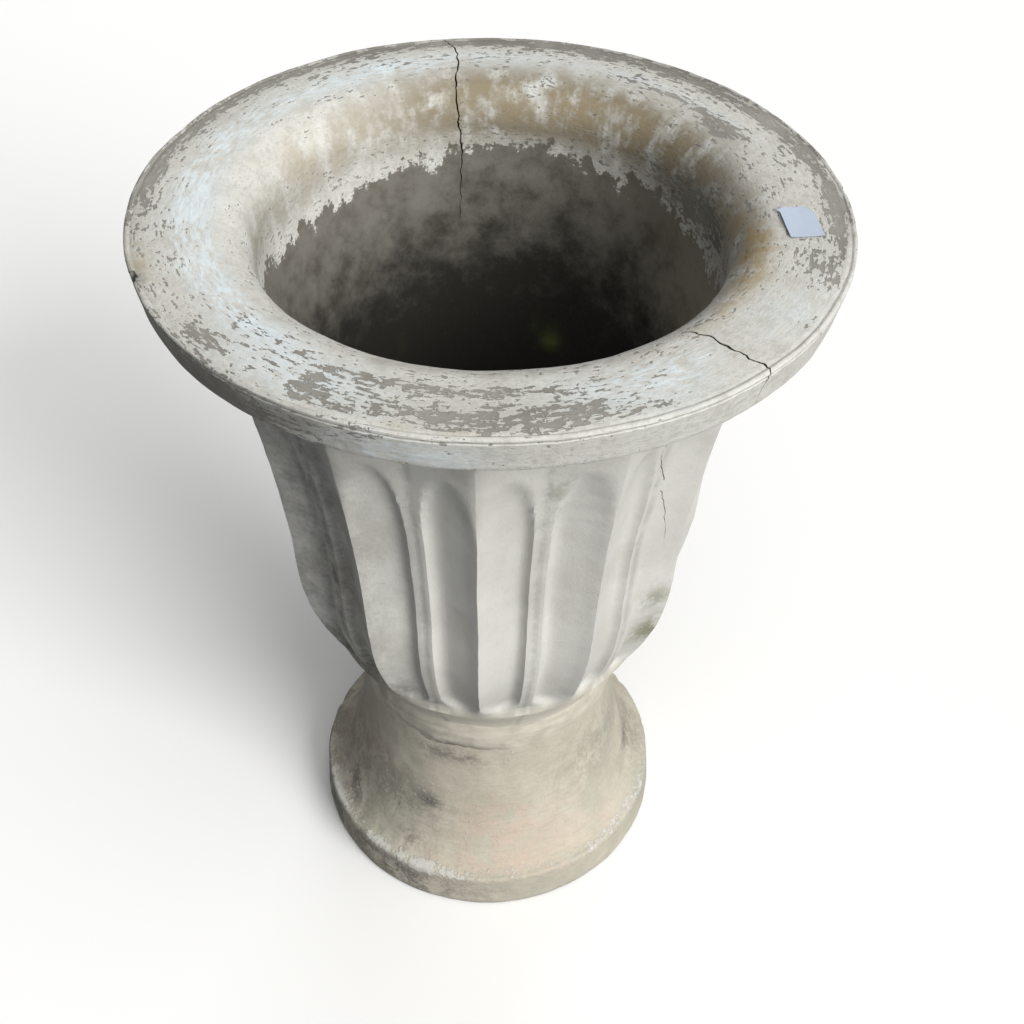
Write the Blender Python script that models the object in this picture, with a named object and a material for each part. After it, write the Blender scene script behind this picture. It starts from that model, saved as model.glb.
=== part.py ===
"""Garden urn: a fluted bowl bedded in mortar on a turned foot.  Metres, +Z up.

The origin is the centre of the foot's resting face, and +Z is the urn's axis.
Every piece is built from rings of points round that axis, bridged into one closed body.
"""

from math import cos, pi, radians, sin, tau

import bmesh
import bpy
from mathutils import Matrix, Vector

# ---------------------------------------------------------------- driving dimensions
HEIGHT = 0.729              # floor to the top of the rim
RIM_RADIUS = 0.280          # the widest point, at the top of the fascia
FASCIA_HEIGHT = 0.032       # the upright band round the rim
FASCIA_LEAN = 0.005         # how far the fascia draws in towards its foot
RIM_ROUND = 0.004           # rounding of the rim's outer arris
THROAT_RADIUS = 0.186       # the bowl's mouth, just below the rim
THROAT_ROLL_RADIAL = 0.034  # the roll from the flat of the rim into the mouth, inwards
THROAT_ROLL_DEPTH = 0.040   # the same roll, downwards

BODY_TOP_RADIUS = 0.232     # the ridges where they meet the rim
BODY_BULGE_RADIUS = 0.192   # the ridges at the belly
BODY_FOOT_RADIUS = 0.158    # the ridges where the fluting ends
FLUTED_HEIGHT = 0.407       # fluting's lower end to the underside of the rim
BELLY_HEIGHT = 0.125        # fluting's lower end to the belly

LEAF_COUNT = 12             # folded leaves round the body, two flutes in each
LEAF_TURN = radians(-1.5)   # where the first ridge stands, from the front
VALLEY_DEPTH = 0.015        # how far the folds between the leaves lie behind the ridges
FLUTE_DEPTH = 0.0085        # how deep each flute is scooped out of its flat
FLUTE_SHARE = 0.86          # the part of the flat that the flute takes, from the ridge
FLUTE_TOP_GAP = 0.058       # flat left above the flutes, under the rim
FLUTE_TOP_ARCH = 0.080      # height of the flute's rounded upper end
FLUTE_BOTTOM_ARCH = 0.018   # height of its rounded lower end

WALL = 0.022                # least wall of the bowl, behind a flute
BOWL_FLOOR = 0.045          # thickness of the bowl's floor above its seat
DRAIN_RADIUS = 0.012        # drain hole down through the bowl
SPIGOT_RADIUS = 0.070       # round tenon under the bowl
SPIGOT_LENGTH = 0.028

NECK_RADIUS = 0.127         # the narrowest place, at the joint
NECK_HEIGHT = 0.214         # the foot's upper face
FOOT_RADIUS = 0.178         # the foot's resting face
FOOT_BAND_HEIGHT = 0.0425   # the upright band round the foot
FOOT_BAND_LEAN = 0.002      # how far the band draws in towards its top
FOOT_ROUND = 0.003          # rounding of the band's arrises
FOOT_WALL = 0.030           # wall of the hollow foot
SOCKET_FLOOR = 0.030        # thickness under the socket
FOOT_DRAIN_RADIUS = 0.020   # drain hole in the middle of the foot

BED_THICKNESS = 0.008       # mortar between the two seats
SPIGOT_PLAY = 0.009         # mortar round the spigot, and under it
COLLAR_WIDTH = 0.004        # mortar standing out over the joint
FIT_GAP = 0.0003            # clearance between faces that touch

LABEL_LENGTH = 0.042        # round the rim
LABEL_WIDTH = 0.027         # across the rim
LABEL_MARGIN = 0.0035       # from the roll into the mouth to the sticker
LABEL_THICKNESS = 0.0008
LABEL_AZIMUTH = radians(85.0)     # round from the front, towards +X
LABEL_TWIST = radians(12.0)       # how crooked it was stuck on
LABEL_CREASE = 0.0006             # height of its crumples

FLAT_POINTS = 4             # columns across each flute
RIM_CHORDS = 48             # columns round the plain pieces


# ---------------------------------------------------------------- worked-out places
RIM_UNDERSIDE = HEIGHT - FASCIA_HEIGHT
FLUTED_BASE = RIM_UNDERSIDE - FLUTED_HEIGHT
BELLY = FLUTED_BASE + BELLY_HEIGHT
SEAT = NECK_HEIGHT + BED_THICKNESS
FLOOR = SEAT + BOWL_FLOOR
SOCKET_RADIUS = SPIGOT_RADIUS + SPIGOT_PLAY
SOCKET_BASE = SEAT - SPIGOT_LENGTH - SPIGOT_PLAY
FLUTE_TOP = RIM_UNDERSIDE - FLUTE_TOP_GAP
ROLL_OUTER_RADIUS = THROAT_RADIUS + THROAT_ROLL_RADIAL
LABEL_MIDDLE = ROLL_OUTER_RADIUS + LABEL_MARGIN + LABEL_WIDTH / 2


def bezier(p0, p1, p2, p3, steps, first=0):
    """Points along one cubic curve of (radius, height) pairs."""
    points = []
    for i in range(first, steps + 1):
        t = i / steps
        a, b, c, d = (1 - t) ** 3, 3 * t * (1 - t) ** 2, 3 * t * t * (1 - t), t ** 3
        points.append(tuple(a * q0 + b * q1 + c * q2 + d * q3 for q0, q1, q2, q3 in zip(p0, p1, p2, p3)))
    return points


def quarter(centre, radial, upward, start, turn, steps):
    """An elliptical arc about centre, as (radius, height) pairs; angles in degrees."""
    angles = [radians(start + turn * i / steps) for i in range(steps + 1)]
    return [(centre[0] + radial * cos(a), centre[1] + upward * sin(a)) for a in angles]


# ---------------------------------------------------------------- the bowl's outlines
def ridge_line():
    """The leaves' ridges, from the end of the fluting up to the underside of the rim."""
    belly = (BODY_BULGE_RADIUS, BELLY)
    swell = BODY_BULGE_RADIUS - BODY_FOOT_RADIUS
    flare = BODY_TOP_RADIUS - BODY_BULGE_RADIUS
    rise = RIM_UNDERSIDE - BELLY
    lower = bezier((BODY_FOOT_RADIUS, FLUTED_BASE),
                   (BODY_FOOT_RADIUS + 0.45 * swell, FLUTED_BASE + 0.22 * BELLY_HEIGHT),
                   (BODY_BULGE_RADIUS - 0.09 * swell, BELLY - 0.45 * BELLY_HEIGHT), belly, 5)
    upper = bezier(belly, (BODY_BULGE_RADIUS + 0.04 * flare, BELLY + 0.30 * rise),
                   (BODY_TOP_RADIUS - 0.41 * flare, BELLY + 0.69 * rise),
                   (BODY_TOP_RADIUS, RIM_UNDERSIDE), 13, first=1)
    return lower + upper


def ridge_radius(height):
    """The ridge line's radius at a height, read between its points."""
    line = ridge_line()
    for (r0, z0), (r1, z1) in zip(line, line[1:]):
        if height <= z1:
            share = max(0.0, (height - z0) / (z1 - z0))
            return r0 + share * (r1 - r0)
    return line[-1][0]


def flute_section(across, height):
    """How much of the full flute depth is scooped out here; across is 0 at the ridge, 1 at the fold."""
    sideways = (across - FLUTE_SHARE / 2) / (FLUTE_SHARE / 2)
    above = max(0.0, (height - (FLUTE_TOP - FLUTE_TOP_ARCH)) / FLUTE_TOP_ARCH)
    below = max(0.0, (FLUTED_BASE + FLUTE_BOTTOM_ARCH - height) / FLUTE_BOTTOM_ARCH)
    return max(0.0, 1.0 - sideways ** 2 - above ** 2 - below ** 2)


def fold_depth(height):
    """The folds run out towards the fluting's lower end."""
    rise = min(1.0, (height - FLUTED_BASE) / BELLY_HEIGHT)
    return VALLEY_DEPTH * (0.45 + 0.55 * rise)


def leaf_radius(across, ridge, height):
    """Radius of the leaf's surface: a flat from the ridge to the fold, less its flute."""
    half_leaf = pi / LEAF_COUNT
    fold = ridge - fold_depth(height)
    angle = across * half_leaf
    ridge_point = Vector((ridge, 0.0))
    fold_point = Vector((fold * cos(half_leaf), fold * sin(half_leaf)))
    along = fold_point - ridge_point
    flat = (ridge_point.x * along.y - ridge_point.y * along.x) / (cos(angle) * along.y - sin(angle) * along.x)
    return flat - FLUTE_DEPTH * flute_section(across, height)


def bowl_columns():
    """(azimuth, across) of each column of points round the bowl, from one ridge round to the next."""
    half_leaf = pi / LEAF_COUNT
    shares = [FLUTE_SHARE * i / (FLAT_POINTS - 1) for i in range(FLAT_POINTS)]
    columns = []
    for leaf in range(LEAF_COUNT):
        ridge = LEAF_TURN + tau * leaf / LEAF_COUNT
        columns += [(ridge + s * half_leaf, s) for s in shares]
        columns.append((ridge + half_leaf, 1.0))
        columns += [(ridge + (2 - s) * half_leaf, s) for s in reversed(shares[1:])]
    return columns


def inner_line():
    """The bowl's inside, from the flat of the rim down to the drain hole."""
    roll_foot = HEIGHT - THROAT_ROLL_DEPTH
    roll = quarter((ROLL_OUTER_RADIUS, roll_foot), THROAT_ROLL_RADIAL, THROAT_ROLL_DEPTH, 90, 90, 5)
    behind_flute = FLUTE_DEPTH + VALLEY_DEPTH / 2 + WALL
    low = FLOOR + BELLY_HEIGHT
    low_radius = ridge_radius(low) - behind_flute
    wall = bezier((THROAT_RADIUS, roll_foot), (THROAT_RADIUS, roll_foot - 2 * THROAT_ROLL_DEPTH),
                  (ridge_radius(BELLY) - behind_flute, BELLY + BELLY_HEIGHT), (low_radius, low), 5, first=1)
    dish = bezier((low_radius, low), (low_radius, low - 0.6 * BELLY_HEIGHT), (0.6 * low_radius, FLOOR),
                  (DRAIN_RADIUS, FLOOR), 5, first=1)
    return roll + wall + dish


# ---------------------------------------------------------------- mesh helpers
def on_axis(azimuth, radius, height):
    """A point seen from the urn's axis; azimuth 0 is the front, -Y."""
    return Vector((radius * sin(azimuth), -radius * cos(azimuth), height))


def bridge_rings(mesh, rings):
    """Join each closed ring of points to the next, and the last to the first."""
    for ring, following in zip(rings, rings[1:] + rings[:1]):
        count = len(ring)
        for i in range(count):
            j = (i + 1) % count
            mesh.faces.new((ring[i], ring[j], following[j], following[i]))


def finish(mesh, name, colour, roughness, sharp_angle=35.0):
    """Turn a bmesh into a named object with its own material."""
    bmesh.ops.recalc_face_normals(mesh, faces=mesh.faces)
    data = bpy.data.meshes.new(name)
    mesh.to_mesh(data)
    mesh.free()
    data.shade_smooth()
    data.set_sharp_from_angle(angle=radians(sharp_angle))
    material = bpy.data.materials.new(name)
    material.use_nodes = True
    shader = material.node_tree.nodes["Principled BSDF"]
    shader.inputs["Base Color"].default_value = (*colour, 1.0)
    shader.inputs["Roughness"].default_value = roughness
    shader.inputs["Metallic"].default_value = 0.0
    data.materials.append(material)
    piece = bpy.data.objects.new(name, data)
    bpy.context.collection.objects.link(piece)
    return piece


def turned(name, outline, colour, roughness):
    """A closed ring-shaped body: an outline of (radius, height) pairs spun round the axis."""
    mesh = bmesh.new()
    rings = [[mesh.verts.new(on_axis(tau * i / RIM_CHORDS, radius, height)) for i in range(RIM_CHORDS)]
             for radius, height in outline]
    bridge_rings(mesh, rings)
    return finish(mesh, name, colour, roughness)


# ---------------------------------------------------------------- the pieces
def make_bowl():
    """The fluted bowl with its rim, floor, drain hole and spigot, cast in one."""
    neck = NECK_RADIUS + FIT_GAP
    spigot_end = SEAT - SPIGOT_LENGTH
    collar = bezier((neck, SEAT), (neck, SEAT + 0.3 * (FLUTED_BASE - SEAT)),
                    (BODY_FOOT_RADIUS - 0.35 * (BODY_FOOT_RADIUS - neck), SEAT + 0.6 * (FLUTED_BASE - SEAT)),
                    (BODY_FOOT_RADIUS, FLUTED_BASE), 4)
    fascia = [(RIM_RADIUS - FASCIA_LEAN, RIM_UNDERSIDE)]
    rounding = quarter((RIM_RADIUS - RIM_ROUND, HEIGHT - RIM_ROUND), RIM_ROUND, RIM_ROUND, 0, 90, 2)
    under = [(DRAIN_RADIUS, spigot_end), (SPIGOT_RADIUS, spigot_end), (SPIGOT_RADIUS, SEAT)]
    columns = bowl_columns()
    mesh = bmesh.new()
    rings = []
    for radius, height in under + collar[:-1]:
        rings.append([mesh.verts.new(on_axis(azimuth, radius, height)) for azimuth, _ in columns])
    for radius, height in ridge_line():
        rings.append([mesh.verts.new(on_axis(azimuth, leaf_radius(across, radius, height), height))
                      for azimuth, across in columns])
    for radius, height in fascia + rounding + inner_line():
        rings.append([mesh.verts.new(on_axis(azimuth, radius, height)) for azimuth, _ in columns])
    bridge_rings(mesh, rings)
    return finish(mesh, "bowl", (0.60, 0.58, 0.53), 0.85)


def make_foot():
    """The round foot: an upright band, a hollow sweep up to the neck, and a socket in its top."""
    band_top = FOOT_RADIUS - FOOT_BAND_LEAN
    rise = NECK_HEIGHT - FOOT_BAND_HEIGHT
    sweep = bezier((band_top - FOOT_ROUND, FOOT_BAND_HEIGHT),
                   (NECK_RADIUS + 0.40 * (band_top - NECK_RADIUS), FOOT_BAND_HEIGHT + 0.08 * rise),
                   (NECK_RADIUS, FOOT_BAND_HEIGHT + 0.45 * rise), (NECK_RADIUS, NECK_HEIGHT), 9)
    crown = SOCKET_BASE - SOCKET_FLOOR
    socket_outline = [(SOCKET_RADIUS, NECK_HEIGHT), (SOCKET_RADIUS, SOCKET_BASE),
                      (FOOT_DRAIN_RADIUS, SOCKET_BASE), (FOOT_DRAIN_RADIUS, crown)]
    crown_radius = NECK_RADIUS - FOOT_WALL
    mouth = FOOT_RADIUS - FOOT_WALL
    hollow = bezier((crown_radius, crown), (crown_radius, 0.5 * crown),
                    (0.5 * (crown_radius + mouth), 0.3 * crown), (mouth, 0.0), 5)
    edge = [(FOOT_RADIUS - FOOT_ROUND, 0.0), (FOOT_RADIUS, FOOT_ROUND),
            (band_top, FOOT_BAND_HEIGHT - FOOT_ROUND)]
    outline = edge + sweep + socket_outline + hollow
    return turned("foot", outline, (0.56, 0.54, 0.47), 0.88)


def make_mortar_bed():
    """The mortar that beds the bowl: a ring between the seats and a skirt round the spigot."""
    top = SEAT - FIT_GAP
    bottom = NECK_HEIGHT + FIT_GAP
    inside = SPIGOT_RADIUS + FIT_GAP
    skirt = SOCKET_RADIUS - FIT_GAP
    skirt_end = SEAT - SPIGOT_LENGTH
    face = NECK_RADIUS + COLLAR_WIDTH
    outline = [(inside, skirt_end), (skirt, skirt_end), (skirt, bottom), (NECK_RADIUS, bottom),
               (face, bottom + 0.2 * BED_THICKNESS), (face, top - 0.2 * BED_THICKNESS),
               (NECK_RADIUS, top), (inside, top)]
    return turned("mortar_bed", outline, (0.55, 0.54, 0.46), 0.92)


def make_label():
    """A small blank paper sticker on the flat of the rim, a little crumpled."""
    mesh = bmesh.new()
    across, along = 5, 6
    turn = Matrix.Rotation(LABEL_AZIMUTH - pi / 2 + LABEL_TWIST, 3, "Z")
    place = on_axis(LABEL_AZIMUTH, LABEL_MIDDLE, HEIGHT + FIT_GAP)
    sheets = []
    for level in (0.0, LABEL_THICKNESS):
        sheet = []
        for i in range(across):
            for j in range(along):
                u, v = i / (across - 1) - 0.5, j / (along - 1) - 0.5
                crease = LABEL_CREASE * (0.5 + 0.5 * sin(7.0 * u + 4.0 * v) * cos(9.0 * v - 3.0 * u))
                spot = turn @ Vector((LABEL_WIDTH * u, LABEL_LENGTH * v, 0.0))
                sheet.append(mesh.verts.new(place + spot + Vector((0.0, 0.0, level + crease))))
        sheets.append(sheet)
    lower, upper = sheets
    for i in range(across - 1):
        for j in range(along - 1):
            corners = (i * along + j, (i + 1) * along + j, (i + 1) * along + j + 1, i * along + j + 1)
            mesh.faces.new([upper[k] for k in corners])
            mesh.faces.new([lower[k] for k in reversed(corners)])
    border = ([i * along for i in range(across)] + [(across - 1) * along + j for j in range(1, along)]
              + [i * along + along - 1 for i in range(across - 2, -1, -1)] + list(range(along - 2, 0, -1)))
    for k, following in zip(border, border[1:] + border[:1]):
        mesh.faces.new((lower[k], lower[following], upper[following], upper[k]))
    return finish(mesh, "paper_label", (0.82, 0.84, 0.88), 0.80, sharp_angle=60.0)


def main():
    for leftover in list(bpy.data.objects):
        bpy.data.objects.remove(leftover, do_unlink=True)
    make_bowl()
    make_foot()
    make_mortar_bed()
    make_label()


main()
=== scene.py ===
"""Garden urn: a limewashed cast-stone bowl, folded into twelve leaves with two flutes in each, bedded in
lime mortar on a turned foot.  A blank paper sticker lies on the rim.  Metres, +Z up, the axis on Z.

Azimuths are seen from the axis: 0 is the front, -Y, and they grow towards +X.
"""
from math import cos, pi, radians, sin, tau

import bmesh
import bpy
import numpy as np
from bpy.props import FloatProperty, FloatVectorProperty, IntProperty, PointerProperty
from mathutils import Matrix, Vector, noise


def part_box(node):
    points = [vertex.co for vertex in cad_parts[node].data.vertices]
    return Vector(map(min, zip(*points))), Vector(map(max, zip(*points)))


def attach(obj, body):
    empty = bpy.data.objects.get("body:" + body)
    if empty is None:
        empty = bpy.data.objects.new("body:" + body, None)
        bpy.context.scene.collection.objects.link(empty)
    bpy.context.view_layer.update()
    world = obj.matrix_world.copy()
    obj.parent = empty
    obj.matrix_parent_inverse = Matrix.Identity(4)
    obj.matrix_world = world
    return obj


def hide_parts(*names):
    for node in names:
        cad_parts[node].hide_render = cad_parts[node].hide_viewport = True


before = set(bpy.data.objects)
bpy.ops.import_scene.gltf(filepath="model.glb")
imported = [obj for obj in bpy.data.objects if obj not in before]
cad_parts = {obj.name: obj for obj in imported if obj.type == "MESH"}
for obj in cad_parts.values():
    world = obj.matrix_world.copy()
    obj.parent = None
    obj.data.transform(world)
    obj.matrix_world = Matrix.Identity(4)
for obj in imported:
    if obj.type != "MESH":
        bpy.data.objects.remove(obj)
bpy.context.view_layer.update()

bl_info = {
    "name": "Garden urn",
    "version": (1, 0, 0),
    "blender": (4, 5, 0),
    "location": "3D View > Sidebar > Urn",
    "description": "Makes a fluted, limewashed garden urn round its CAD frame",
    "category": "Add Mesh",
}

BOWL_LOW, BOWL_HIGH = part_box("bowl")
FOOT_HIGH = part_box("foot")[1]
BED_LOW, BED_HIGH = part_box("mortar_bed")
LABEL_LOW, LABEL_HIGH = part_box("paper_label")

FIT_GAP = 0.0003                        # clearance between faces that touch
TOP = BOWL_HIGH.z                       # crest of the rim
RIM = min(BOWL_HIGH.x, BOWL_HIGH.y) - 0.0003   # the rim's radius, just inside the frame's facets
UNDERSIDE = TOP - 0.032                 # underside of the rim, the fascia's foot
FLUTING_BASE = UNDERSIDE - 0.407        # lower end of the fluting
BELLY_HEIGHT = 0.125                    # from there up to the belly
BELLY = FLUTING_BASE + BELLY_HEIGHT
RIDGE_TOP = 0.232                       # radius of the ridges under the rim
RIDGE_BELLY = 0.192                     # and at the belly
RIDGE_FOOT = 0.158                      # and at the fluting's lower end
NECK = 0.127                            # the narrowest radius, at the joint
SEAT = BED_HIGH.z + FIT_GAP             # the bowl's seat on its mortar
BOWL_FLOOR = SEAT + 0.045               # top of the bowl's floor
WALL = 0.038                            # the bowl's wall, measured behind a ridge
ROLL_RADIUS = 0.220                     # where the flat of the rim turns over into the mouth
ROLL_DEPTH = 0.040                      # how far down that roll goes
THROAT = 0.186                          # radius of the mouth
SOFFIT_END = 0.0075                     # from the rim's radius in to the fascia's foot
DRAIN_RADIUS = 0.012
FOOT_DRAIN_RADIUS = 0.020
SPIGOT_RADIUS = 0.070                   # tenon under the bowl
SOCKET_RADIUS = 0.079                   # hole for it in the foot, with room for mortar
BAND_HEIGHT = 0.0425                    # upright band round the foot
HOLLOW_CROWN = 0.155                    # top of the hollow under the foot
SOCKET_FLOOR = 0.185
COLUMNS_IN_FLUTE = 13                   # columns of points across each flute
COLUMNS_IN_RIB = 3                      # and across the flat between flute and fold


# ---------------------------------------------------------------- colours and small helpers
def linear(hex_colour):
    """A colour written as sRGB hex, turned into the linear numbers that the shaders take."""
    parts = [int(hex_colour[i:i + 2], 16) / 255 for i in (0, 2, 4)]
    return tuple(p / 12.92 if p <= 0.04045 else ((p + 0.055) / 1.055) ** 2.4 for p in parts)


def add(tree, kind, inputs=(), out=0, **settings):
    """Add a node with its settings, give each input a link or a value, and return one output."""
    node = tree.nodes.new(kind)
    for name, value in settings.items():
        setattr(node, name, value)
    for key, value in dict(inputs).items():
        if isinstance(value, bpy.types.NodeSocket):
            tree.links.new(value, node.inputs[key])
        else:
            node.inputs[key].default_value = value
    return node.outputs[out] if len(node.outputs) else node


def bezier(p0, p1, p2, p3, steps):
    """Points along one cubic curve of (radius, height) pairs."""
    t = np.linspace(0.0, 1.0, steps + 1)[:, None]
    p0, p1, p2, p3 = (np.array(p) for p in (p0, p1, p2, p3))
    return (1 - t) ** 3 * p0 + 3 * t * (1 - t) ** 2 * p1 + 3 * t * t * (1 - t) * p2 + t ** 3 * p3


def between(start, end, steps):
    """Evenly spaced points from start up to, but not including, end."""
    share = np.arange(steps)[:, None] / steps
    return np.array(start) * (1 - share) + np.array(end) * share


def resample(line, heights):
    """A rising line read at given heights."""
    return np.column_stack((np.interp(heights, line[:, 1], line[:, 0]), heights))


def smoothstep(low, high, value):
    share = np.clip((value - low) / (high - low), 0.0, 1.0)
    return share * share * (3 - 2 * share)


def patches(azimuth, along, spots, base):
    """Paint soft oval spots (azimuth, along, half width, half height, strength) over a base level."""
    level = np.full(len(azimuth), base)
    for spot_azimuth, spot_along, half_width, half_height, strength in spots:
        off = (azimuth - spot_azimuth + 180) % 360 - 180
        distance = (off / half_width) ** 2 + ((along - spot_along) / half_height) ** 2
        level += strength * np.exp(-distance ** 1.15)
    return level


def give_attribute(mesh, name, values):
    """Store one number for each point, for the materials to read."""
    layer = mesh.attributes.new(name, "FLOAT", "POINT")
    layer.data.foreach_set("value", np.asarray(values, dtype=np.float32))


def points_of(mesh):
    points = np.empty(len(mesh.vertices) * 3, dtype=np.float32)
    mesh.vertices.foreach_get("co", points)
    return points.reshape(-1, 3).astype(float)


def put_points(mesh, points):
    mesh.vertices.foreach_set("co", points.astype(np.float32).ravel())
    mesh.update()


def azimuths_of(points):
    return np.degrees(np.arctan2(points[:, 0], -points[:, 1]))


def unevenness(points, scale, seed):
    """A smooth vector noise, one vector for each point, for surfaces that were never quite true."""
    shift = Vector((seed * 7.1, seed * 3.7, seed * 5.3))
    return np.array([noise.noise_vector(Vector(p) / scale + shift) for p in points])


def let_wander(points, waviness, broad, fine, seed):
    """Points let wander by broad swells with finer ones over them."""
    return points + (waviness * unevenness(points, broad, seed)
                     + 0.35 * waviness * unevenness(points, fine, seed + 1))


def keep_within(points, radius, low, high):
    """Bring points that have wandered out of the frame back to its radius and heights."""
    points[:, :2] *= (radius / np.maximum(np.hypot(points[:, 0], points[:, 1]), radius))[:, None]
    points[:, 2] = np.clip(points[:, 2], low, high)


def spin(name, outline, azimuths):
    """A closed mesh: a closed outline of (radius, height) pairs carried round the axis."""
    radius, height = np.array(outline).T
    x = radius[:, None] * np.sin(azimuths)[None, :]
    y = -radius[:, None] * np.cos(azimuths)[None, :]
    z = np.repeat(height[:, None], len(azimuths), axis=1)
    rows, columns = len(radius), len(azimuths)
    row, column = np.meshgrid(np.arange(rows), np.arange(columns), indexing="ij")
    next_row, next_column = (row + 1) % rows, (column + 1) % columns
    faces = np.stack((row * columns + column, row * columns + next_column,
                      next_row * columns + next_column, next_row * columns + column), axis=-1)
    mesh = bpy.data.meshes.new(name)
    points = np.stack((x, y, z), axis=-1).reshape(-1, 3)
    mesh.from_pydata(points.tolist(), [], faces.reshape(-1, 4).tolist())
    return mesh


def place(name, mesh):
    piece = bpy.data.objects.new(name, mesh)
    bpy.context.scene.collection.objects.link(piece)
    return piece


def settle(piece):
    """Turn a piece and its modifiers into a plain mesh."""
    depsgraph = bpy.context.evaluated_depsgraph_get()
    plain = bpy.data.meshes.new_from_object(piece.evaluated_get(depsgraph), depsgraph=depsgraph)
    piece.modifiers.clear()
    piece.data = plain
    return plain


def smooth(mesh, sharp_angle):
    mesh.shade_smooth()
    mesh.set_sharp_from_angle(angle=radians(sharp_angle))


# ---------------------------------------------------------------- settings that a user would change
def length_property(name, description, default):
    return FloatProperty(name=name, description=description, default=default, unit="LENGTH",
                         subtype="DISTANCE", precision=4)


class UrnSizes(bpy.types.PropertyGroup):
    """Sizes of the carved and worn detail."""
    leaves: IntProperty(name="Leaves", description="Folded leaves round the bowl", default=12, min=3)
    leaf_turn: FloatProperty(name="Leaf turn", description="Where the first ridge stands, from the front",
                             default=radians(-1.5), subtype="ANGLE")
    flute_share: FloatProperty(name="Flute share", description="Part of each flat that its flute takes",
                               default=0.86, min=0.1, max=1.0, subtype="FACTOR")
    fold_depth: length_property("Fold depth", "How far the folds lie behind the ridges", 0.015)
    flute_depth: length_property("Flute depth", "How deep each flute is scooped", 0.0108)
    flute_gap: length_property("Gap over the flutes", "Flat left above the flutes, under the rim", 0.070)
    top_arch: length_property("Top arch", "Height of the flutes' round upper ends", 0.086)
    bottom_arch: length_property("Bottom arch", "Height of the flutes' round lower ends", 0.020)
    wear: length_property("Worn ridges", "How much the ridges have worn down", 0.0007)
    crack_width: length_property("Crack width", "Width of the cracks across the rim", 0.0019)
    waviness: length_property("Waviness", "How far the hand-finished surface wanders", 0.0009)


def colour_property(name, description, hex_colour):
    return FloatVectorProperty(name=name, description=description, default=linear(hex_colour), size=3,
                               min=0.0, max=1.0, subtype="COLOR")


class UrnColours(bpy.types.PropertyGroup):
    """Colours of the stone, the wash over it and what weather has left."""
    stone: colour_property("Bare stone", "Grey cast stone where the wash has flaked", "918f87")
    wash: colour_property("Limewash", "Old limewash, warm pale grey", "cbcac4")
    fresh_wash: colour_property("Thick limewash", "Blue-white coats that still lie thick", "d8e2e6")
    ochre: colour_property("Ochre stain", "Rust and clay run into the wash", "a18e68")
    # Also painted shade: this darker, browner wash darkens the back of the mouth, which faces the lamps.
    dust_and_shade: colour_property("Dusty wash", "Old dust in the wash round the mouth", "7f7869")
    body: colour_property("Body wash", "The wash on the leaves", "cbcac4")
    # This dark colour is also laid on as painted shade: in the leaves' folds, under the rim, down the left
    # side and in the hollow of the neck.
    grime_and_shade: colour_property("Grime", "Soot and mildew in sheltered places", "55534d")
    algae: colour_property("Algae", "Green growth where water runs", "6f7051")
    earth: colour_property("Earth", "Soil dried on the inside", "211f19")
    wall: colour_property("Inner wall", "Bare wall inside, above the soil", "706d65")
    foot: colour_property("Foot wash", "Beige wash on the foot", "bab4a5")
    pink: colour_property("Pink wash", "An older pinkish coat that shows through on the foot", "c3b1a0")
    mortar: colour_property("Mortar", "Lime mortar", "c4bfb0")
    paper: colour_property("Paper", "Blank sticker", "b4bfd0")
    floor: colour_property("Floor", "Studio floor", "f2f2f1")


# ---------------------------------------------------------------- materials
def dragged(tree, spot, length, width, detail):
    """Noise dragged round the axis: length along the turn and width across it, in metres, without a seam."""
    middle_radius = 0.25
    axes = add(tree, "ShaderNodeSeparateXYZ", {0: spot}).node.outputs
    flat = add(tree, "ShaderNodeCombineXYZ", {0: axes[0], 1: axes[1]})
    radius = add(tree, "ShaderNodeVectorMath", {0: flat}, out=1, operation="LENGTH")
    facing = add(tree, "ShaderNodeVectorMath", {0: flat}, operation="NORMALIZE")
    around = add(tree, "ShaderNodeVectorMath", {0: facing, 3: middle_radius / length}, operation="SCALE")
    rise = add(tree, "ShaderNodeMath", {0: axes[2], 1: 1 / width}, operation="MULTIPLY")
    up = add(tree, "ShaderNodeCombineXYZ", {2: rise})
    return add(tree, "ShaderNodeTexNoise", {
        "Vector": add(tree, "ShaderNodeVectorMath", {0: around, 1: up}),
        "W": add(tree, "ShaderNodeMath", {0: radius, 1: 1 / width}, operation="MULTIPLY"),
        "Scale": 1.0, "Detail": detail, "Roughness": 0.62}, noise_dimensions="4D")


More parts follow.
